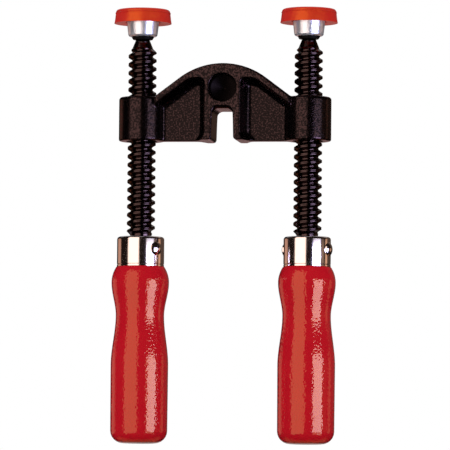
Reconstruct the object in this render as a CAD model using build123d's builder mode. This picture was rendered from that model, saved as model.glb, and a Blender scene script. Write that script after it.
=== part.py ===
from build123d import *

import os
from math import acos, atan2, cos, radians, sin, sqrt, tan

# Two-spindle edge clamp, standing on its handles with its pads up. Millimetres.
# +X runs from the left spindle to the right one, -Y is the front, +Z points to the pads.

# Layout
spindle_spacing = 80.0
thread_below_bracket = 45.7
pad_standoff = 27.8

# Cast bracket
casting_depth = 22.0
boss_diameter = 22.0
boss_height = 21.1
boss_top_round = 1.3
boss_foot_round = 0.8
boss_web_fillet = 1.6
crown_height = 36.6
crown_radius = 34.5
crown_thickness = 6.8
crown_edge_round = 0.7
rim_thickness = 3.05
rim_end_to_spindle = 7.8
web_thickness = 6.0
hub_width = 17.1
pocket_draft = 16.0
pocket_root_fillet = 2.6
pocket_shoulder_radius = 10.0
foot_height = 4.4
foot_flare = 1.6

# Rail slot and the round recess above it
slot_depth = 15.0
slot_width = 9.8
slot_draft = 1.5
slot_corner_radius = 3.0
slot_mouth_round = 1.6
seat_relief = 1.5
recess_diameter = 13.4
recess_depth = 5.2
recess_above_seat = 10.1
drill_point_angle = 118.0

# Spindle
thread_diameter = 13.5
thread_root_diameter = 9.8
thread_runout = 1.0
shank_diameter = 10.3
tang_diameter = 8.0
tang_length = 38.0
neck_diameter = 6.2
cone_length = 4.6
ball_diameter = 8.0
bore_mouth_chamfer = 0.7

# Swivel pad
bush_wall = 1.7
bush_skirt = 3.4
cup_mouth_drop = 2.0
cup_mouth_diameter = 13.8
cup_top_diameter = 15.6
cup_height = 7.8
cup_edge_round = 1.1
disc_diameter = 24.0
disc_thickness = 3.4
cap_lip_thickness = 1.5
cap_top_thickness = 1.7
cap_wall = 0.9
cap_side_lean = 0.5
cap_flare = 0.3
cap_edge_round = 1.4

# Ferrule and rivet
ferrule_diameter = 22.5
ferrule_height = 14.4
ferrule_wall = 0.9
ferrule_edge_round = 1.3
bead_height = 1.2
bead_groove = 0.25
rivet_diameter = 3.2
rivet_head_diameter = 6.4
rivet_head_height = 1.5
rivet_head_edge = 0.3
rivet_above_handle = 8.4
left_rivet_angle = 49.5
right_rivet_angle = 73.0

# Turned handle
handle_length = 84.0
handle_shoulder_step = 0.25
upper_swell_diameter = 27.4
upper_swell_from_top = 7.4
waist_diameter = 23.0
waist_from_top = 23.2
lower_swell_diameter = 27.4
lower_swell_from_top = 46.8
handle_end_round = 6.0

# Clearances
thread_clearance = 0.05
ball_clearance = 0.05
neck_clearance = 0.3
cap_lip_clearance = 0.5
shank_clearance = 0.15
assembly_gap = 0.03

# Two lengths closer than this count as one when an edge is looked up
same_size = 0.01

# Heights, from the floor up
ferrule_top = handle_length + ferrule_height
bracket_base = ferrule_top + thread_below_bracket
boss_top = bracket_base + boss_height
crown_top = bracket_base + crown_height
seat_level = bracket_base + slot_depth
recess_level = seat_level + recess_above_seat
bush_base = boss_top + pad_standoff
ball_level = bush_base + bush_skirt
cup_mouth_level = ball_level - cup_mouth_drop
disc_underside = cup_mouth_level + cup_height
disc_top = disc_underside + disc_thickness
cap_base = disc_underside - cap_lip_thickness
cap_top = disc_top + cap_top_thickness
rivet_level = handle_length + rivet_above_handle

# Radii that several pieces share
spindle_offset = spindle_spacing / 2
boss_radius = boss_diameter / 2
bore_radius = thread_diameter / 2 + thread_clearance
ball_radius = ball_diameter / 2
neck_radius = neck_diameter / 2
bush_bore_radius = neck_radius + neck_clearance
bush_cavity_radius = ball_radius + ball_clearance
bush_radius = bush_cavity_radius + bush_wall
socket_radius = bush_radius + ball_clearance
ferrule_radius = ferrule_diameter / 2
tenon_radius = ferrule_radius - ferrule_wall - assembly_gap
tenon_top = ferrule_top - ferrule_wall - assembly_gap

os.makedirs("parts", exist_ok=True)


def round_at(radius, offset):
    """Returns how far a round of this radius lies from the plane through its centre, at an offset."""
    return sqrt(radius**2 - offset**2)


def circles(shape, radius):
    """Returns the circular edges of a shape that have this radius."""
    rounds = shape.edges().filter_by(GeomType.CIRCLE)
    return rounds.filter_by(lambda edge: abs(edge.radius - radius) < same_size)


def save(part, name):
    part.label = name
    export_step(part, f"parts/{name}.step")


# Arch outline: a round crown and straight flanks tangent to it, which run down to the boss tops
half_depth = casting_depth / 2
rim_end = spindle_offset - rim_end_to_spindle
crown_centre = crown_top - crown_radius
to_rim_end = sqrt(rim_end**2 + (boss_top - crown_centre) ** 2)
flank_angle = atan2(rim_end, boss_top - crown_centre) - acos(crown_radius / to_rim_end)
crown_end = (crown_radius * sin(flank_angle), crown_centre + crown_radius * cos(flank_angle))

with BuildPart() as arch:
    with BuildSketch(Plane.XZ):
        with BuildLine():
            crown = ThreePointArc((-crown_end[0], crown_end[1]), (0, crown_top), crown_end)
            Polyline(
                crown @ 1,
                (rim_end, boss_top),
                (rim_end, bracket_base),
                (-rim_end, bracket_base),
                (-rim_end, boss_top),
                crown @ 0,
            )
        make_face()
    extrude(amount=half_depth, both=True)
    face_edges = arch.edges().filter_by(Plane.XZ)
    fillet(face_edges.filter_by(lambda edge: edge.center().Z > boss_top + same_size), crown_edge_round)

# Pocket beside the hub, cast with draft and a rounded root, open below and towards the boss
pocket_depth = (casting_depth - web_thickness) / 2
run_out = pocket_depth + pocket_root_fillet
ceiling = crown_top - crown_thickness
hub_side = hub_width / 2
inner_radius = crown_radius - rim_thickness
flank_line = crown_centre + inner_radius / cos(flank_angle)
shoulder_x = (flank_line - ceiling) / tan(flank_angle)

with BuildPart() as pockets:
    with BuildSketch(Plane.XZ.offset(half_depth)) as pocket_outline:
        with BuildLine():
            foot = TangentArc(
                (hub_side, bracket_base + foot_height),
                (hub_side + foot_flare, bracket_base),
                tangent=(0, -1),
            )
            foot_run = Line(foot @ 1, foot @ 1 + (foot % 1) * run_out)
            Polyline(
                foot_run @ 1,
                (spindle_offset, (foot_run @ 1).Y),
                (spindle_offset, flank_line - spindle_offset * tan(flank_angle)),
                (shoulder_x, ceiling),
                (hub_side, ceiling),
                foot @ 0,
            )
        make_face()
        shoulder = pocket_outline.vertices().sort_by_distance((shoulder_x, ceiling))[0]
        fillet(shoulder, pocket_shoulder_radius)
    extrude(amount=-pocket_depth, taper=pocket_draft)
    floor = pockets.faces().sort_by(Axis.Y)[-1]
    hub_corner = pockets.edges().sort_by_distance((hub_side, pocket_depth / 2 - half_depth, ceiling))[0]
    fillet([hub_corner] + floor.edges(), pocket_root_fillet)
    mirror(about=Plane.YZ)
    mirror(about=Plane.XZ)

# Bosses for the spindles, each with the stub of web that runs into it on rounded corners
with BuildPart() as bosses:
    with BuildSketch(Plane.XY.offset(bracket_base)) as boss_plan:
        with Locations((spindle_offset, 0)):
            Circle(boss_radius)
            Rectangle(boss_diameter, web_thickness, align=(Align.MAX, Align.CENTER))
        joins = boss_plan.vertices().sort_by(Axis.X)[-2:]
        fillet(joins, boss_web_fillet)
    extrude(amount=boss_height)
    fillet(circles(bosses, boss_radius).group_by(Axis.Z)[-1], boss_top_round)
    fillet(circles(bosses, boss_radius).group_by(Axis.Z)[0], boss_foot_round)
    mirror(about=Plane.YZ)

# Open slot that drops over a rail. Its seat is flat, and falls away at both faces of the casting
def slot_section(depth, level):
    """Draws the slot's outline at a distance from the middle of the casting, with its seat at a level."""
    with BuildSketch(Plane.XZ.offset(depth)) as section:
        below = bracket_base - slot_corner_radius
        spread = (level - below) * tan(radians(slot_draft))
        with BuildLine():
            Polyline(
                (-slot_width / 2, level),
                (slot_width / 2, level),
                (slot_width / 2 + spread, below),
                (-slot_width / 2 - spread, below),
                close=True,
            )
        make_face()
        fillet(section.vertices().group_by(Axis.Y)[-1], slot_corner_radius)
    return section.sketch


with BuildPart() as slot:
    seat_edge = half_depth - seat_relief
    loft([slot_section(-seat_edge, seat_level), slot_section(seat_edge, seat_level)])
    loft([slot_section(seat_edge, seat_level), slot_section(half_depth, seat_level + seat_relief)])
    loft([slot_section(-seat_edge, seat_level), slot_section(-half_depth, seat_level + seat_relief)])

# Blind round recess in each face, with the cone that a drill leaves
recess_radius = recess_diameter / 2
recess_tip = recess_radius / tan(radians(drill_point_angle / 2))

with BuildPart() as recesses:
    with BuildSketch(Plane.YZ):
        with BuildLine():
            Polyline(
                (-half_depth, recess_level),
                (-half_depth, recess_level + recess_radius),
                (recess_depth - half_depth, recess_level + recess_radius),
                (recess_depth + recess_tip - half_depth, recess_level),
                close=True,
            )
        make_face()
    revolve(axis=Axis((0, 0, recess_level), (0, 1, 0)))
    mirror(about=Plane.XZ)

with BuildPart() as bracket:
    add(arch.part)
    add(pockets.part, mode=Mode.SUBTRACT)
    add(bosses.part)
    add(slot.part, mode=Mode.SUBTRACT)
    add(recesses.part, mode=Mode.SUBTRACT)
    mouth = bracket.edges().filter_by(Axis.Y).group_by(Axis.Z)[0]
    fillet(mouth.filter_by(lambda edge: abs(edge.center().X) < hub_side), slot_mouth_round)
    with Locations(*[(x, 0, boss_top) for x in (-spindle_offset, spindle_offset)]):
        Hole(bore_radius, boss_height)
    chamfer(circles(bracket, bore_radius), bore_mouth_chamfer)
save(bracket.part, "bracket")

# Handle outline: shoulder under the ferrule, upper swell, waist, long lower swell, rounded end
upper_swell_level = handle_length - upper_swell_from_top
waist_level = handle_length - waist_from_top
lower_swell_level = handle_length - lower_swell_from_top
tang_end = handle_length - tang_length
thread_foot = ferrule_top + thread_runout
cone_top = bush_base + neck_clearance
cone_base = cone_top - cone_length
thread_head = cone_base - (thread_diameter - thread_root_diameter) / 2

for side, axis_x, rivet_angle in (
    ("left", -spindle_offset, left_rivet_angle),
    ("right", spindle_offset, right_rivet_angle),
):
    # Each turned piece is half its section, drawn beside the spindle's axis and spun round it
    half_plane = Plane(origin=(axis_x, 0, 0), x_dir=(1, 0, 0), z_dir=(0, -1, 0))
    spindle_axis = Axis((axis_x, 0, 0), (0, 0, 1))
    rivet_centre = (axis_x, 0, rivet_level)
    rivet_way = (sin(radians(rivet_angle)), -cos(radians(rivet_angle)), 0)
    rivet_axis = Axis(rivet_centre, rivet_way)
    rivet_plane = Plane(origin=rivet_centre, x_dir=(0, 0, 1), z_dir=rivet_way)
    rivet_section = Plane(origin=rivet_centre, x_dir=rivet_way, z_dir=rivet_plane.y_dir)

    with BuildPart() as spindle:
        with BuildSketch(half_plane):
            with BuildLine():
                ball = ThreePointArc(
                    (neck_radius, ball_level - round_at(ball_radius, neck_radius)),
                    (ball_radius, ball_level),
                    (0, ball_level + ball_radius),
                )
                Polyline(
                    ball @ 1,
                    (0, tang_end),
                    (tang_diameter / 2, tang_end),
                    (tang_diameter / 2, tenon_top + assembly_gap),
                    (shank_diameter / 2, tenon_top + assembly_gap),
                    (shank_diameter / 2, thread_foot),
                    (thread_diameter / 2, thread_foot + (thread_diameter - shank_diameter) / 2),
                    (thread_diameter / 2, thread_head),
                    (thread_root_diameter / 2, cone_base),
                    (neck_radius, cone_top),
                    ball @ 0,
                )
            make_face()
        revolve(axis=spindle_axis)
        with BuildSketch(rivet_plane):
            Circle(rivet_diameter / 2 + assembly_gap)
        extrude(amount=tang_diameter, both=True, mode=Mode.SUBTRACT)
    save(spindle.part, f"{side}_spindle")

    with BuildPart() as bush:
        with BuildSketch(half_plane):
            with BuildLine():
                outside = ThreePointArc(
                    (round_at(bush_radius, bush_skirt), bush_base),
                    (bush_radius, ball_level),
                    (0, ball_level + bush_radius),
                )
                cavity = ThreePointArc(
                    (0, ball_level + bush_cavity_radius),
                    (bush_cavity_radius, ball_level),
                    (bush_bore_radius, ball_level - round_at(bush_cavity_radius, bush_bore_radius)),
                )
                Line(outside @ 1, cavity @ 0)
                Polyline(cavity @ 1, (bush_bore_radius, bush_base), outside @ 0)
            make_face()
        revolve(axis=spindle_axis)
    save(bush.part, f"{side}_swivel_bush")

    with BuildPart() as plate:
        with BuildSketch(half_plane):
            with BuildLine():
                socket = ThreePointArc(
                    (round_at(socket_radius, cup_mouth_drop), cup_mouth_level),
                    (socket_radius, ball_level),
                    (0, ball_level + socket_radius),
                )
                Polyline(
                    socket @ 1,
                    (0, disc_top),
                    (disc_diameter / 2, disc_top),
                    (disc_diameter / 2, disc_underside),
                    (cup_top_diameter / 2, disc_underside),
                    (cup_mouth_diameter / 2, cup_mouth_level),
                    socket @ 0,
                )
            make_face()
        revolve(axis=spindle_axis)
        cup_edge = plate.edges().filter_by(GeomType.CIRCLE).group_by(Axis.Z)[0].sort_by(SortBy.RADIUS)[-1]
        fillet(cup_edge, cup_edge_round)
    save(plate.part, f"{side}_pressure_plate")

    with BuildPart() as cap:
        pocket_radius = disc_diameter / 2 + assembly_gap
        cap_shoulder_radius = pocket_radius + cap_wall
        lip_radius = cup_top_diameter / 2 + cap_lip_clearance
        with BuildSketch(half_plane):
            with BuildLine():
                Polyline(
                    (0, cap_top),
                    (cap_shoulder_radius, cap_top),
                    (cap_shoulder_radius + cap_side_lean, cap_base + cap_lip_thickness),
                    (cap_shoulder_radius + cap_side_lean + cap_flare, cap_base),
                    (lip_radius, cap_base),
                    (lip_radius, disc_underside - assembly_gap),
                    (pocket_radius, disc_underside - assembly_gap),
                    (pocket_radius, disc_top + assembly_gap),
                    (0, disc_top + assembly_gap),
                    close=True,
                )
            make_face()
        revolve(axis=spindle_axis)
        top_edge = cap.edges().filter_by(GeomType.CIRCLE).group_by(Axis.Z)[-1]
        fillet(top_edge, cap_edge_round)
    save(cap.part, f"{side}_cap")

    with BuildPart() as ferrule:
        inner = ferrule_radius - ferrule_wall
        collar = shank_diameter / 2 + shank_clearance
        with BuildSketch(half_plane):
            with BuildLine():
                Polyline(
                    (ferrule_radius, handle_length),
                    (ferrule_radius, handle_length + bead_height - bead_groove),
                    (ferrule_radius - bead_groove, handle_length + bead_height),
                    (ferrule_radius, handle_length + bead_height + bead_groove),
                    (ferrule_radius, ferrule_top),
                    (collar, ferrule_top),
                    (collar, ferrule_top - ferrule_wall),
                    (inner, ferrule_top - ferrule_wall),
                    (inner, handle_length),
                    close=True,
                )
            make_face()
        revolve(axis=spindle_axis)
        top_edge = ferrule.edges().filter_by(GeomType.CIRCLE).group_by(Axis.Z)[-1].sort_by(SortBy.RADIUS)[-1]
        fillet(top_edge, ferrule_edge_round)
        with BuildSketch(rivet_plane):
            Circle(rivet_diameter / 2 + assembly_gap)
        extrude(amount=ferrule_diameter, both=True, mode=Mode.SUBTRACT)
    save(ferrule.part, f"{side}_ferrule")

    with BuildPart() as rivet:
        head_foot = (ferrule_radius + rivet_head_edge, rivet_head_diameter / 2)
        head_tip = (ferrule_radius + rivet_head_height, 0)
        with BuildSketch(rivet_section):
            with BuildLine():
                Polyline(head_tip, (0, 0), (0, rivet_head_diameter / 2), head_foot)
                TangentArc(head_tip, head_foot, tangent=(0, 1))
            make_face()
        revolve(axis=rivet_axis)
        mirror(about=rivet_plane)
        with Locations((axis_x, 0, rivet_level)):
            Cylinder(ferrule_radius, ferrule_height, mode=Mode.SUBTRACT)
        with BuildSketch(rivet_plane):
            Circle(rivet_diameter / 2)
        extrude(amount=ferrule_radius + rivet_head_edge, both=True)
    save(rivet.part, f"{side}_rivet")

    with BuildPart() as handle:
        with BuildSketch(half_plane):
            with BuildLine():
                shoulder = (ferrule_radius + handle_shoulder_step, handle_length)
                upper = (upper_swell_diameter / 2, upper_swell_level)
                waist = (waist_diameter / 2, waist_level)
                lower = (lower_swell_diameter / 2, lower_swell_level)
                Spline(shoulder, upper, tangents=[(1, -1), (0, -1)])
                Spline(upper, waist, tangents=[(0, -1), (0, -1)])
                Spline(waist, lower, tangents=[(0, -1), (0, -1)])
                Polyline(
                    lower,
                    (lower_swell_diameter / 2, 0),
                    (0, 0),
                    (0, tang_end - assembly_gap),
                    (tang_diameter / 2 + assembly_gap, tang_end - assembly_gap),
                    (tang_diameter / 2 + assembly_gap, tenon_top),
                    (tenon_radius, tenon_top),
                    (tenon_radius, handle_length),
                    shoulder,
                )
            make_face()
        revolve(axis=spindle_axis)
        end_edge = handle.edges().filter_by(GeomType.CIRCLE).group_by(Axis.Z)[0]
        fillet(end_edge, handle_end_round)
        with BuildSketch(rivet_plane):
            Circle(rivet_diameter / 2 + assembly_gap)
        extrude(amount=ferrule_diameter, both=True, mode=Mode.SUBTRACT)
    save(handle.part, f"{side}_handle")
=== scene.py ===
from math import asin, ceil, cos, pi, radians, sin, sqrt, tan

import bmesh
import bpy
from mathutils import Matrix, Vector


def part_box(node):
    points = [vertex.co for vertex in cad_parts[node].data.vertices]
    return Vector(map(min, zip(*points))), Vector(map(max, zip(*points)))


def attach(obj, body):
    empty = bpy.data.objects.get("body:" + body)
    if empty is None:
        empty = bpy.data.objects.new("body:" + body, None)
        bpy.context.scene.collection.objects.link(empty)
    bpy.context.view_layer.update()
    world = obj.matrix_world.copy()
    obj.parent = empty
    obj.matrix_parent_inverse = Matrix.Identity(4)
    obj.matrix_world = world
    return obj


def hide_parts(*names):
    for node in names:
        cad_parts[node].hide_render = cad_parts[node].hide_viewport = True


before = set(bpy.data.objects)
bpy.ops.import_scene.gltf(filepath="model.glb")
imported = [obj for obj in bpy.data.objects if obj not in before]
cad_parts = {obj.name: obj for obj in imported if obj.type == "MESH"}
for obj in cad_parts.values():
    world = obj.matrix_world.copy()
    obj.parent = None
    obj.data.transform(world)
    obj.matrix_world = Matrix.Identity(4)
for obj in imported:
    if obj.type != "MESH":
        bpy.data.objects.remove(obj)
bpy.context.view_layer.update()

# A two-spindle edge clamp standing on its handles. Its lengths are in millimetres until they reach a mesh,
# and the studio's are in metres.
MM = 0.001
SIDES = ("left", "right")
# Points of a mesh that lie nearer than this become one
WELD = 0.0005
# Edges that turn by more than this, in degrees, stay crisp
SHARP_ANGLE = 38.0


# Sizes that the frame gives


def levels(node):
    """Returns a node's lowest and highest level, in millimetres."""
    low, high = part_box(node)
    return low.z / MM, high.z / MM


def axis_of(side):
    """Returns the X of a spindle's axis, in millimetres."""
    low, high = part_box(f"{side}_cap")
    return (low.x + high.x) / 2 / MM


BRACKET_BASE = levels("bracket")[0]
HANDLE_TOP, FERRULE_TOP = levels("left_ferrule")
CUP_MOUTH, DISC_TOP = levels("left_pressure_plate")
CAP_BASE, CAP_TOP = levels("left_cap")
BUSH_BASE = levels("left_swivel_bush")[0]
TANG_END = levels("left_spindle")[0]

# Sizes that follow the solids

RUNNING_GAP = 0.05
NECK_GAP = 0.3

RECESS_LEVEL = BRACKET_BASE + 25.1
RECESS_RADIUS = 6.7

BALL_LEVEL = BUSH_BASE + 3.4
BALL_RADIUS = 4.0
BUSH_RADIUS = 5.75
DISC_UNDERSIDE = CAP_BASE + 1.5
DISC_RADIUS = 12.0

NECK_RADIUS = 3.1
CONE_TOP = BUSH_BASE + NECK_GAP
CONE_BASE = CONE_TOP - 4.6
CORE_RADIUS = 4.95
THREAD_RADIUS = 6.75
THREAD_HEAD = CONE_BASE - 1.85
THREAD_FOOT = FERRULE_TOP + 1.0
SHANK_RADIUS = 5.15
TANG_RADIUS = 4.0

FERRULE_RADIUS = 11.25
FERRULE_WALL = 0.9
TENON_TOP = FERRULE_TOP - FERRULE_WALL
RIVET_LEVEL = HANDLE_TOP + 8.4
RIVET_ANGLES = {"left": 49.5, "right": 73.0}


# Meshes


def add_piece(name, bm, body, slot_name, *nodes):
    """Makes a piece of a bmesh, and hands it to the body it rides on and the nodes it stands for."""
    bmesh.ops.remove_doubles(bm, verts=bm.verts, dist=WELD * MM)
    bmesh.ops.recalc_face_normals(bm, faces=bm.faces)
    mesh = bpy.data.meshes.new(name)
    bm.to_mesh(mesh)
    bm.free()
    mesh.shade_smooth()
    mesh.set_sharp_from_angle(angle=radians(SHARP_ANGLE))
    piece = bpy.data.objects.new(name, mesh)
    bpy.context.scene.collection.objects.link(piece)
    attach(piece, body)
    if nodes:
        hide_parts(*nodes)
    return piece


def draw_outline(bm, outline, segments, closed=False):
    """Draws an outline as wire. A corner is its radius, its level and how far its rounding reaches."""
    corners = [bm.verts.new((radius * MM, 0, level * MM)) for radius, level, reach in outline]
    for pair in zip(corners, corners[1:]):
        bm.edges.new(pair)
    if closed:
        bm.edges.new((corners[-1], corners[0]))
    for corner, (radius, level, reach) in zip(corners, outline):
        if reach:
            bmesh.ops.bevel(
                bm, geom=[corner], offset=reach * MM, offset_type="OFFSET", affect="VERTICES",
                segments=segments, profile=0.5, material=-1,
            )


def spin_outline(bm, outline, axis_x=0.0, closed=False, steps=144):
    """Turns an outline about a spindle's axis, beside what the mesh already holds."""
    known = set(bm.verts)
    draw_outline(bm, outline, segments=6, closed=closed)
    mine = [vert for vert in bm.verts if vert not in known]
    wires = [edge for edge in bm.edges if edge.is_wire]
    bmesh.ops.spin(
        bm, geom=mine + wires, cent=(0, 0, 0), axis=(0, 0, 1), dvec=(0, 0, 0), angle=2 * pi,
        steps=steps, use_merge=True, use_duplicate=False,
    )
    bmesh.ops.remove_doubles(bm, verts=bm.verts, dist=WELD * MM)
    turned = [vert for vert in bm.verts if vert not in known]
    bmesh.ops.translate(bm, verts=turned, vec=(axis_x * MM, 0, 0))


def ball_arc(radius, start, end, count=20):
    """Returns the corners of an arc about the ball's centre, between two levels given from that centre."""
    corners = []
    low, high = asin(start / radius), asin(end / radius)
    for step in range(count + 1):
        angle = low + (high - low) * step / count
        corners.append((radius * cos(angle), BALL_LEVEL + radius * sin(angle), 0))
    return corners


def swell(start, end, count=14):
    """Returns the corners of a turned curve that is upright at both of its ends, without its last one."""
    corners = []
    for step in range(count):
        share = step / count
        eased = share * share * (3 - 2 * share)
        corners.append((start[0] + (end[0] - start[0]) * eased, start[1] + (end[1] - start[1]) * share, 0))
    return corners


# Casting


def casting():
    """Makes the bracket's cast skin: its edges soften as they do in a sand mould."""
    voxel, softening, passes = 0.42, 0.5, 3
    bm = bmesh.new()
    bm.from_mesh(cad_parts["bracket"].data)
    piece = add_piece("bracket_casting", bm, "bracket", "black_paint", "bracket")
    skin = piece.modifiers.new("skin", "REMESH")
    skin.mode = "VOXEL"
    skin.voxel_size = voxel * MM
    skin.use_smooth_shade = True
    soft = piece.modifiers.new("soft", "SMOOTH")
    soft.factor = softening
    soft.iterations = passes
    return piece


# Spindle


LEAD = 4.0
CREST_WIDTH = 1.2
FLANK_ANGLE = 30.0
RUN_OUT = 1.6
STEPS_A_TURN = 48
# The level of one crest says how far each screw is turned in the photograph
CREST_LEVELS = {"left": 98.8, "right": 98.5}


def crest_limit(level):
    """Returns the radius that the crests don't pass: they run out at the thread's foot and down the cone."""
    outline = (
        (THREAD_FOOT, SHANK_RADIUS),
        (THREAD_FOOT + RUN_OUT, THREAD_RADIUS),
        (THREAD_HEAD, THREAD_RADIUS),
        (CONE_BASE, CORE_RADIUS),
        (CONE_TOP, NECK_RADIUS),
    )
    if level <= outline[0][0]:
        return outline[0][1]
    for (low, low_radius), (high, high_radius) in zip(outline, outline[1:]):
        if level <= high:
            return low_radius + (high_radius - low_radius) * (level - low) / (high - low)
    return outline[-1][1]


def thread_profile(middle, root, crest):
    """Returns one lead of the thread's outline, from mid-root to mid-root."""
    half_crest = CREST_WIDTH / 2
    half_foot = half_crest + (crest - root) * tan(radians(FLANK_ANGLE))
    # Rolling closes the crest over a fine seam
    half_seam, seam_depth = 0.14, 0.098
    return (
        (root, middle - LEAD / 2, 0),
        (root, middle - half_foot, 0.5),
        (crest, middle - half_crest, 0.22),
        (crest, middle - half_seam, 0),
        (crest - seam_depth, middle, 0),
        (crest, middle + half_seam, 0),
        (crest, middle + half_crest, 0.3),
        (root, middle + half_foot, 0.3),
        (root, middle + LEAD / 2, 0),
    )


def wind_thread(bm, first_crest, turns, root, crest):
    """Winds a right-hand thread up the Z axis."""
    # Where one turn meets the next, points within this distance become one
    turn_weld = 0.002
    draw_outline(bm, thread_profile(first_crest, root, crest), segments=3)
    bmesh.ops.spin(
        bm, geom=bm.verts[:] + bm.edges[:], cent=(0, 0, 0), axis=(0, 0, 1),
        dvec=(0, 0, LEAD / STEPS_A_TURN * MM), angle=2 * pi, steps=STEPS_A_TURN,
        use_merge=False, use_duplicate=False,
    )
    turn = bm.verts[:] + bm.edges[:] + bm.faces[:]
    for count in range(1, turns):
        copy = bmesh.ops.duplicate(bm, geom=turn)["geom"]
        verts = [item for item in copy if isinstance(item, bmesh.types.BMVert)]
        bmesh.ops.translate(bm, verts=verts, vec=(0, 0, count * LEAD * MM))
    bmesh.ops.remove_doubles(bm, verts=bm.verts, dist=turn_weld * MM)


def cut_level(bm, level, above):
    """Cuts a mesh at a level, drops what lies above or below it, and closes the cut."""
    cut = bmesh.ops.bisect_plane(
        bm, geom=bm.verts[:] + bm.edges[:] + bm.faces[:], plane_co=(0, 0, level * MM),
        plane_no=(0, 0, 1), clear_outer=above, clear_inner=not above,
    )
    rim = [item for item in cut["geom_cut"] if isinstance(item, bmesh.types.BMEdge)]
    bmesh.ops.holes_fill(bm, edges=rim, sides=0)


def spindle(side):
    """Makes a spindle: thread, cone, neck and ball above, shank and tang below."""
    bm = bmesh.new()
    first_crest = CREST_LEVELS[side] - LEAD
    turns = ceil((CONE_TOP - first_crest) / LEAD) + 1
    wind_thread(bm, first_crest, turns, CORE_RADIUS, THREAD_RADIUS)
    for vert in bm.verts:
        level = vert.co.z / MM
        reach = vert.co.xy.length / MM
        limit = crest_limit(level)
        if reach > limit:
            vert.co.xy *= limit / reach
    # The rolled skin ends inside the ferrule's lid
    skin_end = FERRULE_TOP - 0.7
    cut_level(bm, skin_end, above=False)
    cut_level(bm, CONE_TOP, above=True)
    ends = bmesh.new()
    # The neck starts inside the cone, a hair thinner than the cone's end
    neck_start, hair = CONE_TOP - 1, 0.02
    neck_joint = sqrt(BALL_RADIUS**2 - NECK_RADIUS**2)
    spin_outline(
        ends,
        [(0, neck_start, 0), (NECK_RADIUS - hair, neck_start, 0)]
        + ball_arc(BALL_RADIUS, -neck_joint, BALL_RADIUS),
        steps=64,
    )
    spin_outline(
        ends,
        [
            (0, TANG_END, 0),
            (TANG_RADIUS, TANG_END, 0.5),
            (TANG_RADIUS, TENON_TOP, 0),
            (SHANK_RADIUS, TENON_TOP, 0),
            (SHANK_RADIUS, THREAD_FOOT, 0),
            (0, THREAD_FOOT, 0),
        ],
        steps=64,
    )
    plain = bpy.data.meshes.new("spindle_ends")
    ends.to_mesh(plain)
    ends.free()
    bm.from_mesh(plain)
    bpy.data.meshes.remove(plain)
    bmesh.ops.translate(bm, verts=bm.verts, vec=(axis_of(side) * MM, 0, 0))
    return add_piece(
        f"{side}_spindle_screw", bm, f"{side}_spindle", "black_oxide_steel", f"{side}_spindle"
    )


# Swivel pad


def bush(side):
    """Makes the moulded bush that snaps over the ball."""
    cavity, bore = BALL_RADIUS + RUNNING_GAP, NECK_RADIUS + NECK_GAP
    skirt = BUSH_BASE - BALL_LEVEL
    bm = bmesh.new()
    spin_outline(
        bm,
        ball_arc(BUSH_RADIUS, BUSH_RADIUS, skirt)
        + [(bore, BUSH_BASE, 0.3)]
        + ball_arc(cavity, -sqrt(cavity**2 - bore**2), cavity),
        axis_of(side),
    )
    return add_piece(
        f"{side}_bush_moulding", bm, f"{side}_pad_seat", "bush_nylon", f"{side}_swivel_bush"
    )


def cup(side):
    """Makes the turned pressure plate with its tapered cup."""
    socket, mouth, root = BUSH_RADIUS + RUNNING_GAP, 6.9, 7.8
    bm = bmesh.new()
    spin_outline(
        bm,
        ball_arc(socket, socket, CUP_MOUTH - BALL_LEVEL)
        + [
            (mouth, CUP_MOUTH, 1.1),
            (root, DISC_UNDERSIDE, 0),
            (DISC_RADIUS, DISC_UNDERSIDE, 0.2),
            (DISC_RADIUS, DISC_TOP, 0.2),
            (0, DISC_TOP, 0),
        ],
        axis_of(side),
    )
    return add_piece(
        f"{side}_pressure_cup", bm, f"{side}_pad", "bright_zinc_steel", f"{side}_pressure_plate"
    )


def cap(side):
    """Makes the soft cap that is pulled over the plate."""
    crown, skirt, rim, lip, lip_rise = 12.93, 13.43, 13.73, 8.3, 0.6
    # A fine bead runs round the wall, a little under the crown
    above_bead, bead, below_bead = 13.02, 13.34, 13.06
    bead_level, half_bead = CAP_TOP - 1.7, 0.2
    skin_gap = 0.03
    pocket = DISC_RADIUS + skin_gap
    bm = bmesh.new()
    spin_outline(
        bm,
        [
            (0, CAP_TOP, 0),
            (crown, CAP_TOP, 1.3),
            (above_bead, bead_level + half_bead, 0),
            (bead, bead_level, 0.1),
            (below_bead, bead_level - half_bead, 0),
            (skirt, DISC_UNDERSIDE, 0.5),
            (rim, CAP_BASE, 0.12),
            (lip, CAP_BASE + lip_rise, 0.3),
            (lip, DISC_UNDERSIDE - skin_gap, 0.2),
            (pocket, DISC_UNDERSIDE - skin_gap, 0),
            (pocket, DISC_TOP + skin_gap, 0),
            (0, DISC_TOP + skin_gap, 0),
        ],
        axis_of(side),
    )
    return add_piece(f"{side}_soft_cap", bm, f"{side}_pad", "cap_pvc", f"{side}_cap")


# Handle, ferrule and rivet


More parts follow.
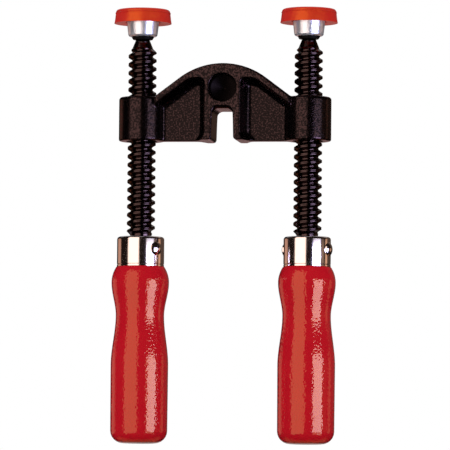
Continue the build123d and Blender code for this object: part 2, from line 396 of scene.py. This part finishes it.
def handle(side):
    """Makes the turned handle: rounded end, lower swell, waist, upper swell and shoulder."""
    lower, waist, upper = (13.7, 37.2), (11.5, 60.8), (13.7, 76.6)
    foot, foot_rounding, top, tenon = 13.55, 6.0, 11.5, 10.3
    # The shoulder is an arc that leaves the swell upright and meets the ferrule's foot
    drop, narrowing = HANDLE_TOP - upper[1], upper[0] - top
    bend = (drop**2 + narrowing**2) / 2 / narrowing
    shoulder = []
    steps = 12
    for step in range(steps + 1):
        height = drop * step / steps
        shoulder.append((upper[0] - bend + sqrt(bend**2 - height**2), upper[1] + height, 0))
    tenon_end, tang_hole = TENON_TOP - RUNNING_GAP, TANG_RADIUS + RUNNING_GAP
    hole_end = TANG_END - 2 * RUNNING_GAP
    bm = bmesh.new()
    spin_outline(
        bm,
        [(0, 0, 0), (foot, 0, foot_rounding)]
        + swell(lower, waist)
        + swell(waist, upper)
        + shoulder
        + [
            (tenon, HANDLE_TOP, 0),
            (tenon, tenon_end, 0.5),
            (tang_hole, tenon_end, 0),
            (tang_hole, hole_end, 0),
            (0, hole_end, 0),
        ],
        axis_of(side),
    )
    return add_piece(f"{side}_turned_handle", bm, f"{side}_spindle", "red_lacquer", f"{side}_handle")


def ferrule(side):
    """Makes the pressed ferrule: a cup over the tenon with a groove rolled in above its foot."""
    inner, collar = FERRULE_RADIUS - FERRULE_WALL, 5.3
    groove, half_groove, groove_depth = HANDLE_TOP + 1.2, 0.2, 0.4
    bm = bmesh.new()
    spin_outline(
        bm,
        [
            (inner, HANDLE_TOP, 0),
            (FERRULE_RADIUS, HANDLE_TOP, 0.25),
            (FERRULE_RADIUS, groove - half_groove, 0.03),
            (FERRULE_RADIUS - groove_depth, groove, 0),
            (FERRULE_RADIUS, groove + half_groove, 0.03),
            (FERRULE_RADIUS, FERRULE_TOP, 1.3),
            (collar, FERRULE_TOP, 0.2),
            (collar, TENON_TOP, 0),
            (inner, TENON_TOP, 0.4),
        ],
        axis_of(side),
        closed=True,
    )
    return add_piece(
        f"{side}_nickel_ferrule", bm, f"{side}_spindle", "nickel_plate", f"{side}_ferrule"
    )


def rivet(side):
    """Makes the cross rivet, with a domed head at each end."""
    head, proud, edge, shank, sunk = 3.2, 1.5, 0.25, 1.6, 0.7
    rise = proud - edge
    dome = (head**2 + rise**2) / 2 / rise
    tip = FERRULE_RADIUS + proud
    arc = []
    steps = 10
    for step in range(steps + 1):
        reach = head * step / steps
        arc.append((reach, tip - dome + sqrt(dome**2 - reach**2), 0))
    half = arc + [(head, FERRULE_RADIUS - sunk, 0), (shank, FERRULE_RADIUS - sunk, 0)]
    other = [(radius, -level, 0) for radius, level, reach in reversed(half)]
    bm = bmesh.new()
    spin_outline(bm, half + other, steps=64)
    angle = radians(RIVET_ANGLES[side])
    lay_down = Vector((sin(angle), -cos(angle), 0)).to_track_quat("Z", "Y").to_matrix()
    bmesh.ops.rotate(bm, verts=bm.verts, cent=(0, 0, 0), matrix=lay_down)
    bmesh.ops.translate(bm, verts=bm.verts, vec=(axis_of(side) * MM, 0, RIVET_LEVEL * MM))
    return add_piece(f"{side}_domed_rivet", bm, f"{side}_spindle", "nickel_plate", f"{side}_rivet")


# Materials


def srgb(code):
    """Turns a hex colour, as seen on a screen, into linear RGBA."""
    channels = [int(code[at : at + 2], 16) / 255 for at in (1, 3, 5)]
    linear = [c / 12.92 if c <= 0.04045 else ((c + 0.055) / 1.055) ** 2.4 for c in channels]
    return (*linear, 1)


def add_node(tree, kind, inputs=None, output=None, **settings):
    """Adds a node, fills its inputs with values or links, and returns its first output or the one named."""
    node = tree.nodes.new("ShaderNode" + kind)
    for name, value in settings.items():
        setattr(node, name, value)
    for name, value in (inputs or {}).items():
        sockets = [socket for socket in node.inputs if socket.enabled and socket.name == name]
        socket = sockets[0] if sockets else node.inputs[name]
        if isinstance(value, bpy.types.NodeSocket):
            tree.links.new(value, socket)
        else:
            socket.default_value = value
    if output:
        return node.outputs[output]
    return next((socket for socket in node.outputs if socket.enabled), None)


def start_finish(name, **sockets):
    """Starts a material. Returns it, its tree, its shader and the place on its object in millimetres."""
    material = bpy.data.materials.new(name)
    material.use_nodes = True
    tree = material.node_tree
    shader = tree.nodes["Principled BSDF"]
    for socket, value in sockets.items():
        shader.inputs[socket.replace("_", " ")].default_value = value
    at = add_node(tree, "TexCoord", output="Object")
    at = add_node(tree, "VectorMath", {0: at, "Scale": 1 / MM}, operation="SCALE")
    return material, tree, shader, at


def vary(tree, shader, pattern, colours, roughness):
    """Takes the colour and the roughness from one value to another as a noise pattern rises."""
    (dark, light), (smooth, rough) = colours, roughness
    colour = add_node(
        tree, "Mix", {"Factor": pattern, "A": srgb(dark), "B": srgb(light)}, data_type="RGBA"
    )
    # Noise hardly leaves the range of 0.3 to 0.7
    gloss = add_node(
        tree, "MapRange",
        {"Value": pattern, "From Min": 0.3, "From Max": 0.7, "To Min": smooth, "To Max": rough},
    )
    tree.links.new(colour, shader.inputs["Base Color"])
    tree.links.new(gloss, shader.inputs["Roughness"])


def casting_enamel():
    """Black enamel brushed on sand-cast malleable iron: matt black pits, tops rubbed to a dark shine,
    painted shade in the hollows.
    """
    material, tree, shader, at = start_finish(
        "black_enamel_on_sand_cast_iron", IOR=1.5, Specular_IOR_Level=0.12, Specular_Tint=srgb("#ffe0e8"),
    )
    # Sand grains of 0.5 mm, drawn half as large again so that they show
    grains = add_node(tree, "TexNoise", {"Vector": at, "Scale": 1 / 0.75, "Detail": 1.0})
    # Painted shade: fewer shiny tops on the sunken web, within 4 mm of the middle, than 8 mm and more from
    # it
    reach = add_node(tree, "VectorMath", {0: at}, operation="ABSOLUTE")
    depth = add_node(tree, "SeparateXYZ", {"Vector": reach}, output="Y")
    web_painted_shade = add_node(
        tree, "MapRange", {"Value": depth, "From Min": 4.0, "From Max": 8.0, "To Min": 0.045, "To Max": 0}
    )
    grains = add_node(tree, "Math", {0: grains, 1: web_painted_shade}, operation="SUBTRACT")
    tops = add_node(
        tree, "MapRange", {"Value": grains, "From Min": 0.48, "From Max": 0.54},
        interpolation_type="SMOOTHSTEP",
    )
    # Painted shade: the drilled recesses lose their shiny tops and turn rough, so they read black and dull,
    # up to 0.4 mm from their edges
    flat = add_node(tree, "VectorMath", {0: at, 1: (1, 0, 1)}, operation="MULTIPLY")
    off_centre = add_node(
        tree, "VectorMath", {0: flat, 1: (0, 0, RECESS_LEVEL)}, "Value", operation="DISTANCE"
    )
    clear_of_recess_shade = add_node(
        tree, "MapRange",
        {"Value": off_centre, "From Min": RECESS_RADIUS - 0.4, "From Max": RECESS_RADIUS},
    )
    tops = add_node(tree, "Math", {0: tops, 1: clear_of_recess_shade}, operation="MULTIPLY")
    colour = add_node(
        tree, "Mix", {"Factor": tops, "A": srgb("#010101"), "B": srgb("#34282a")}, data_type="RGBA"
    )
    dull = add_node(tree, "MapRange", {"Value": clear_of_recess_shade, "To Min": 0.5, "To Max": 0.2})
    gloss = add_node(tree, "MapRange", {"Value": tops, "To Min": dull, "To Max": 0.13})
    # The brush leaves drifts about 3 mm across
    drifts = add_node(tree, "TexNoise", {"Vector": at, "Scale": 1 / 3.0, "Detail": 1.0})
    swells = add_node(tree, "Bump", {"Height": drifts, "Strength": 1.0, "Distance": 0.07 * MM})
    bumps = add_node(
        tree, "Bump", {"Height": tops, "Strength": 1.0, "Distance": 0.012 * MM, "Normal": swells}
    )
    tree.links.new(colour, shader.inputs["Base Color"])
    tree.links.new(tops, shader.inputs["Metallic"])
    tree.links.new(gloss, shader.inputs["Roughness"])
    tree.links.new(bumps, shader.inputs["Normal"])
    return material


def black_oxide():
    """Oiled black oxide on a rolled steel screw: a dark brown metal that glints where a lamp faces it."""
    material, tree, shader, at = start_finish("black_oxide_on_rolled_steel", Metallic=1.0)
    # The oil pools in spots of about 1.5 mm
    pools = add_node(tree, "TexNoise", {"Vector": at, "Scale": 1 / 1.5, "Detail": 3.0})
    vary(tree, shader, pools, ("#352b2c", "#504243"), (0.11, 0.18))
    # Rolling leaves scuffs of about 0.6 mm
    scuffs = add_node(tree, "TexNoise", {"Vector": at, "Scale": 1 / 0.6, "Detail": 2.0})
    bumps = add_node(tree, "Bump", {"Height": scuffs, "Strength": 1.0, "Distance": 0.03 * MM})
    tree.links.new(bumps, shader.inputs["Normal"])
    return material


def nickel():
    """Bright nickel on pressed steel: a warm mirror that is a little wavy from the press."""
    material, tree, shader, at = start_finish("bright_nickel_on_pressed_steel", Metallic=1.0)
    # Handling leaves a faint bloom in patches of about 5 mm
    bloom = add_node(tree, "TexNoise", {"Vector": at, "Scale": 1 / 5.0, "Detail": 3.0})
    vary(tree, shader, bloom, ("#dfd6d6", "#ece5e6"), (0.09, 0.15))
    # Drawing marks run up the wall, 0.8 mm apart and 6 mm long
    marks = add_node(tree, "Mapping", {"Vector": at, "Scale": (1 / 0.8, 1 / 0.8, 1 / 6.0)})
    drawn = add_node(tree, "TexNoise", {"Vector": marks, "Scale": 1.0, "Detail": 2.0})
    bumps = add_node(tree, "Bump", {"Height": drawn, "Strength": 1.0, "Distance": 0.006 * MM})
    tree.links.new(bumps, shader.inputs["Normal"])
    return material


def zinc():
    """Bright zinc on turned steel: bluish white, half mirror and half haze, with the tool's fine rings."""
    material, tree, shader, at = start_finish("bright_zinc_on_turned_steel", Metallic=0.8)
    # The plating bath leaves clouds of about 3 mm
    clouds = add_node(tree, "TexNoise", {"Vector": at, "Scale": 1 / 3.0, "Detail": 3.0})
    vary(tree, shader, clouds, ("#e4ecfc", "#eef4ff"), (0.28, 0.34))
    # Tool rings of 0.25 mm, drawn 0.5 mm apart so that they show. A wave texture at scale 1 has a ring
    # every tenth of pi
    rings = add_node(
        tree, "TexWave", {"Vector": at, "Scale": pi / 10 / 0.5, "Distortion": 0.6},
        output="Fac", bands_direction="Z",
    )
    ringed = add_node(tree, "Bump", {"Height": rings, "Strength": 1.0, "Distance": 0.006 * MM})
    # Plating leaves a satin of crystals, drawn 0.7 mm across so that they show
    satin = add_node(tree, "TexNoise", {"Vector": at, "Scale": 1 / 0.7, "Detail": 1.0})
    bumps = add_node(
        tree, "Bump", {"Height": satin, "Strength": 1.0, "Distance": 0.12 * MM, "Normal": ringed}
    )
    tree.links.new(bumps, shader.inputs["Normal"])
    return material


def vinyl():
    """Soft vinyl from a dip mould: red right through, with a waxy sheen that turns orange in the light."""
    material, tree, shader, at = start_finish(
        "soft_moulded_red_vinyl", IOR=1.95, Specular_Tint=srgb("#ffc43f"),
    )
    # The skin varies over about 6 mm
    skin = add_node(tree, "TexNoise", {"Vector": at, "Scale": 1 / 6.0, "Detail": 2.0})
    vary(tree, shader, skin, ("#c20c1b", "#cf1220"), (0.3, 0.38))
    # Pulling the cap over the disc leaves low ripples round it, 2 mm apart and 12 mm long
    stretch = add_node(tree, "Mapping", {"Vector": at, "Scale": (1 / 12.0, 1 / 12.0, 1 / 2.0)})
    ripples = add_node(tree, "TexNoise", {"Vector": stretch, "Scale": 1.0, "Detail": 2.0})
    sagging = add_node(tree, "Bump", {"Height": skin, "Strength": 1.0, "Distance": 0.45 * MM})
    bumps = add_node(
        tree, "Bump", {"Height": ripples, "Strength": 1.0, "Distance": 0.12 * MM, "Normal": sagging}
    )
    tree.links.new(bumps, shader.inputs["Normal"])
    return material


def lacquer():
    """Red nitro lacquer dipped on turned beech: deep gloss on a red coat, orange peel and some grain."""
    material, tree, shader, at = start_finish(
        "red_lacquer_on_turned_beech", IOR=1.47, Specular_Tint=srgb("#ffd468"),
        Coat_Weight=1.0, Coat_Roughness=0.05, Coat_IOR=1.28,
    )
    # The dip runs thick and thin over about 10 mm
    dip = add_node(tree, "TexNoise", {"Vector": at, "Scale": 1 / 10.0, "Detail": 2.0})
    vary(tree, shader, dip, ("#b41020", "#bc1423"), (0.07, 0.11))
    # Beech grain 0.7 mm apart and 9 mm long swells under the lacquer
    along = add_node(tree, "Mapping", {"Vector": at, "Scale": (1 / 0.7, 1 / 0.7, 1 / 9.0)})
    grain = add_node(tree, "TexNoise", {"Vector": along, "Scale": 1.0, "Detail": 2.0})
    swells = add_node(tree, "Bump", {"Height": grain, "Strength": 1.0, "Distance": 0.008 * MM})
    # Turning leaves rings about 2.2 mm apart
    rings = add_node(
        tree, "TexWave", {"Vector": at, "Scale": pi / 10 / 2.2, "Distortion": 2.0, "Detail": 1.0},
        output="Fac", bands_direction="Z",
    )
    turned = add_node(
        tree, "Bump", {"Height": rings, "Strength": 1.0, "Distance": 0.006 * MM, "Normal": swells}
    )
    # Orange peel in the lacquer has dimples of about 1 mm
    peel = add_node(tree, "TexNoise", {"Vector": at, "Scale": 1 / 1.0, "Detail": 0.0})
    bumps = add_node(
        tree, "Bump", {"Height": peel, "Strength": 1.0, "Distance": 0.1 * MM, "Normal": turned}
    )
    tree.links.new(bumps, shader.inputs["Normal"])
    tree.links.new(bumps, shader.inputs["Coat Normal"])
    return material


def nylon():
    """Black nylon from a mould: dull, with the mould's fine texture."""
    material, tree, shader, at = start_finish("black_moulded_nylon", IOR=1.53, Specular_IOR_Level=0.15)
    # The melt's flow leaves patches of about 2 mm
    flow = add_node(tree, "TexNoise", {"Vector": at, "Scale": 1 / 2.0, "Detail": 2.0})
    vary(tree, shader, flow, ("#060506", "#0c0b0c"), (0.42, 0.55))
    # Spark-eroded texture with pits of 0.4 mm
    pits = add_node(tree, "TexNoise", {"Vector": at, "Scale": 1 / 0.4, "Detail": 1.0})
    bumps = add_node(tree, "Bump", {"Height": pits, "Strength": 1.0, "Distance": 0.02 * MM})
    tree.links.new(bumps, shader.inputs["Normal"])
    return material


# Studio


CAMERA_AZIMUTH = 7.5
CAMERA_ELEVATION = -4.0
CAMERA_ROLL = 0.55
CAMERA_DISTANCE = 2.5
AIM = Vector((0.0005, 0, 0.10417))
FRAME_WIDTH = 0.2144


def place_camera():
    """Sets the camera at the photograph's angle: below the pads and a little to the right."""
    azimuth, elevation = radians(CAMERA_AZIMUTH), radians(CAMERA_ELEVATION)
    back = Vector((sin(azimuth) * cos(elevation), -cos(azimuth) * cos(elevation), sin(elevation)))
    camera = bpy.data.objects.new("camera", bpy.data.cameras.new("camera"))
    bpy.context.scene.collection.objects.link(camera)
    camera.data.sensor_width = 36
    camera.data.lens = camera.data.sensor_width * CAMERA_DISTANCE / FRAME_WIDTH
    camera.data.clip_start = 0.05
    camera.location = AIM + back * CAMERA_DISTANCE
    look = (-back).to_track_quat("-Z", "Y").to_matrix()
    camera.rotation_euler = (look @ Matrix.Rotation(radians(CAMERA_ROLL), 3, "Z")).to_euler()
    bpy.context.scene.camera = camera


# What the shiny pieces mirror: colour, strength, and the azimuths and elevations that each lamp or board
# fills, in degrees. Azimuth is counted from the camera, to the right, and 181 runs past the seam behind.
SOFTBOXES = {
    "left_box": ("#ffe6d4", 1.95, (-63, -8), (-30, 44)),
    "right_box": ("#f4eef0", 1.85, (29, 68), (-32, 10)),
    "left_rear_board": ("#ffc2a4", 0.6, (-142, -112), (-12, 9)),
    "right_far_board": ("#d8b090", 0.4, (72, 90), (-12, 9)),
    "right_far_streak": ("#ffc49c", 0.8, (99, 114), (-12, 9)),
    "right_rear_board": ("#ffd0b4", 0.08, (112, 181), (-2, 60)),
    "paper_behind_left": ("#ffd0cc", 0.5, (-181, -172), (-28, -2)),
    "paper_behind_right": ("#ffd0cc", 0.5, (172, 181), (-28, -2)),
    "paper_below_left": ("#e08a60", 0.6, (-181, -110), (-86, -34)),
    "paper_below_right": ("#e08a60", 0.6, (110, 181), (-86, -34)),
    "rear_lamp_left": ("#ffffff", 0.6, (-181, -140), (30, 70)),
    "rear_lamp_right": ("#ffffff", 0.6, (140, 181), (30, 70)),
    "overhead": ("#ffffff", 0.6, (-181, 181), (78, 91)),
}
# Each of them fades over this many degrees to either side of its edges, round the object and up
TURN_FADE = 3.5
LIFT_FADE = 3.0
# What the shiny pieces mirror of the room between them
DARK_ROOM = (0.014, 0.009, 0.007)
# What is matt gets more light from the upper left of the camera than from behind
BRIGHT_SIDE = (-0.3, -0.85, 0.4)
DIMMEST = 0.55
BRIGHTEST = 1.22


def studio():
    """Lights the object: white behind it, plain soft light on what is matt, softboxes in what is shiny."""
    world = bpy.data.worlds.new("studio")
    bpy.context.scene.world = world
    world.use_nodes = True
    world.cycles.sampling_method = "NONE"
    tree = world.node_tree
    tree.nodes.clear()
    way = add_node(tree, "TexCoord", output="Generated")
    facing = add_node(
        tree, "VectorRotate", {"Vector": way, "Angle": radians(-CAMERA_AZIMUTH)}, rotation_type="Z_AXIS"
    )
    right = add_node(tree, "SeparateXYZ", {"Vector": facing}, output="X")
    back = add_node(tree, "SeparateXYZ", {"Vector": facing}, output="Y")
    up = add_node(tree, "SeparateXYZ", {"Vector": facing}, output="Z")
    front = add_node(tree, "Math", {0: back, 1: -1.0}, operation="MULTIPLY")
    turn = add_node(tree, "Math", {0: right, 1: front}, operation="ARCTAN2")
    azimuth = add_node(tree, "Math", {0: turn}, operation="DEGREES")
    lift = add_node(tree, "Math", {0: up}, operation="ARCSINE")
    elevation = add_node(tree, "Math", {0: lift}, operation="DEGREES")
    mirrored = add_node(tree, "CombineXYZ", dict(zip("XYZ", DARK_ROOM)))
    for colour, strength, azimuths, elevations in SOFTBOXES.values():
        light = add_node(tree, "CombineXYZ", dict(zip("XYZ", Vector(srgb(colour)[:3]) * strength)))
        for angle, (low, high), fade in ((azimuth, azimuths, TURN_FADE), (elevation, elevations, LIFT_FADE)):
            for edge, start, end in ((low, 0, 1), (high, 1, 0)):
                share = add_node(
                    tree, "MapRange",
                    {
                        "Value": angle, "From Min": edge - fade, "From Max": edge + fade,
                        "To Min": start, "To Max": end,
                    },
                    interpolation_type="SMOOTHSTEP",
                )
                light = add_node(tree, "VectorMath", {0: light, "Scale": share}, operation="SCALE")
        mirrored = add_node(tree, "VectorMath", {0: mirrored, 1: light}, operation="ADD")
    lean = add_node(tree, "VectorMath", {0: facing, 1: BRIGHT_SIDE}, "Value", operation="DOT_PRODUCT")
    plain = add_node(
        tree, "MapRange",
        {"Value": lean, "From Min": -1, "From Max": 1, "To Min": DIMMEST, "To Max": BRIGHTEST},
    )
    shiny = add_node(tree, "Background", {"Color": mirrored})
    matt = add_node(tree, "Background", {"Color": srgb("#ffffff"), "Strength": plain})
    white = add_node(tree, "Background", {"Color": srgb("#ffffff")})
    is_matt = add_node(tree, "LightPath", output="Is Diffuse Ray")
    is_seen = add_node(tree, "LightPath", output="Is Camera Ray")
    is_through = add_node(tree, "LightPath", output="Is Transmission Ray")
    is_white = add_node(tree, "Math", {0: is_seen, 1: is_through}, operation="MAXIMUM")
    lights = add_node(tree, "MixShader", {0: is_matt, 1: shiny, 2: matt})
    result = add_node(tree, "MixShader", {0: is_white, 1: lights, 2: white})
    add_node(tree, "OutputWorld", {"Surface": result})


def flat_sheet(name, width, height, place):
    """Adds a rectangle to the studio and takes it to its place."""
    bm = bmesh.new()
    bmesh.ops.create_grid(bm, x_segments=1, y_segments=1, size=0.5)
    bmesh.ops.scale(bm, vec=(width, height, 1), verts=bm.verts)
    bmesh.ops.transform(bm, matrix=place, verts=bm.verts)
    mesh = bpy.data.meshes.new(name)
    bm.to_mesh(mesh)
    bm.free()
    sheet = bpy.data.objects.new(name, mesh)
    bpy.context.scene.collection.objects.link(sheet)
    return sheet


def near_panel():
    """Stands one more softbox by the handles, on the right and so near that the pieces higher up miss it."""
    width, height, distance, drop, angle = 0.36, 0.332, 0.52, 0.014, 48.5
    azimuth = radians(CAMERA_AZIMUTH + angle)
    out = Vector((sin(azimuth), -cos(azimuth), 0))
    turned = (-out).to_track_quat("Z", "Y").to_matrix().to_4x4()
    middle = out * distance - Vector((0, 0, drop))
    panel = flat_sheet("near_panel", width, height, Matrix.Translation(middle) @ turned)
    panel.visible_camera = False
    panel.visible_diffuse = False
    panel.visible_shadow = False
    material, tree, shader, at = start_finish(
        "softbox_cloth", Base_Color=srgb("#000000"), Emission_Color=srgb("#cbcbf8"), Emission_Strength=10.8,
    )
    panel.data.materials.append(material)


def floor():
    """Lays pale paper under the handles. It is clear from below, where the photograph's camera is."""
    width = 6.0
    sheet = flat_sheet("floor", width, width, Matrix.Identity(4))
    material, tree, shader, at = start_finish("pale_studio_paper", Roughness=0.9, Specular_IOR_Level=0.1)
    # Fibres gather in clouds of about 30 mm
    fibres = add_node(tree, "TexNoise", {"Vector": at, "Scale": 1 / 30.0, "Detail": 3.0})
    colour = add_node(
        tree, "Mix", {"Factor": fibres, "A": srgb("#f1f0ee"), "B": srgb("#f5f4f2")}, data_type="RGBA"
    )
    tree.links.new(colour, shader.inputs["Base Color"])
    underside = add_node(tree, "NewGeometry", output="Backfacing")
    mirrored = add_node(tree, "LightPath", output="Is Glossy Ray")
    clear = add_node(tree, "Math", {0: underside, 1: mirrored}, operation="MAXIMUM")
    glass = add_node(tree, "BsdfTransparent")
    paper = add_node(tree, "MixShader", {0: clear, 1: shader.outputs["BSDF"], 2: glass})
    tree.links.new(paper, tree.nodes["Material Output"].inputs["Surface"])
    sheet.data.materials.append(material)


# The clamp

place_camera()
studio()
near_panel()
floor()

casting().data.materials.append(casting_enamel())
plate = nickel()
finishes = (
    (spindle, black_oxide()),
    (bush, nylon()),
    (cup, zinc()),
    (cap, vinyl()),
    (handle, lacquer()),
    (ferrule, plate),
    (rivet, plate),
)
for side in SIDES:
    for make_piece, finish in finishes:
        make_piece(side).data.materials.append(finish)

bpy.context.scene.view_settings.view_transform = "Standard"
